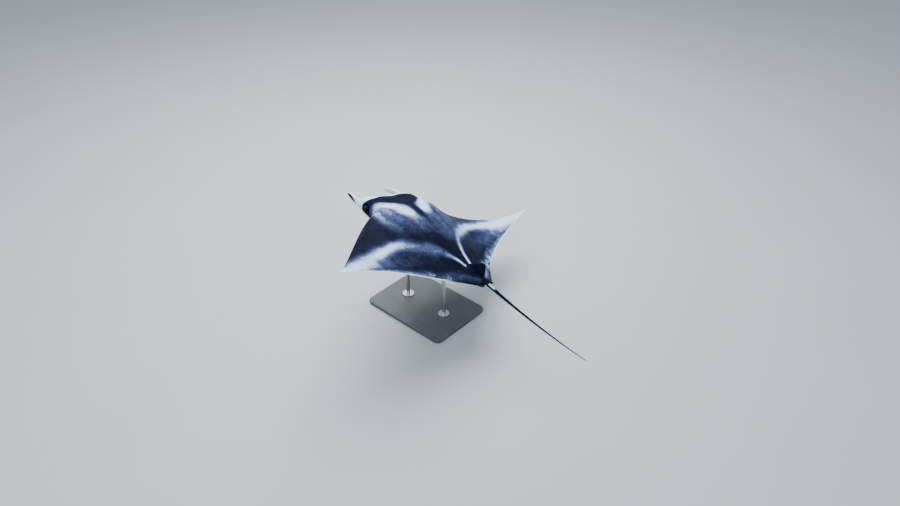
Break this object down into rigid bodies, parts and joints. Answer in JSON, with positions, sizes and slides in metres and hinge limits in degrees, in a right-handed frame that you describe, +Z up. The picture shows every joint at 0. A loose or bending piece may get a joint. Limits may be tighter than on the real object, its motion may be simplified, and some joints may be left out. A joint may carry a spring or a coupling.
{
  "type": "reef manta ray on a display stand",
  "caption": "Life-size reef manta ray in a banked, climbing glide with both wings raised, held on a plain display stand.",
  "frame": {"origin": "centre of the underside of the stand's base, on the floor", "axes": "+Z up; the ray heads towards -Y with its nose 17.5 degrees up; its right side is towards -X and its right wing is banked 22 degrees down"},
  "size_m": [2.9943, 2.8238, 1.4754],
  "materials": {
    "ray_skin": "smooth charcoal back with cool white shoulder patches and wing bands, white belly, faint wet sheen",
    "eye": "dark glossy eye",
    "stand_board": "satin grey lacquered board with softened edges",
    "stand_steel": "brushed steel rod on a round flange"
  },
  "bodies": {
    "root": {"head": "ray_skin", "lower_jaw": "ray_skin", "trunk": "ray_skin", "pectoral_fin_left": "ray_skin", "pectoral_fin_right": "ray_skin", "wing_tip_left": "ray_skin", "wing_tip_right": "ray_skin", "cephalic_fin_left": "ray_skin", "cephalic_fin_right": "ray_skin", "dorsal_fin": "ray_skin", "pelvic_fin_left": "ray_skin", "pelvic_fin_right": "ray_skin", "tail_base": "ray_skin", "tail_middle": "ray_skin", "tail_tip": "ray_skin", "eye_left": "eye", "eye_right": "eye", "stand_base": "stand_board", "stand_rod_front": "stand_steel", "stand_rod_rear": "stand_steel"}
  },
  "joints": []
}
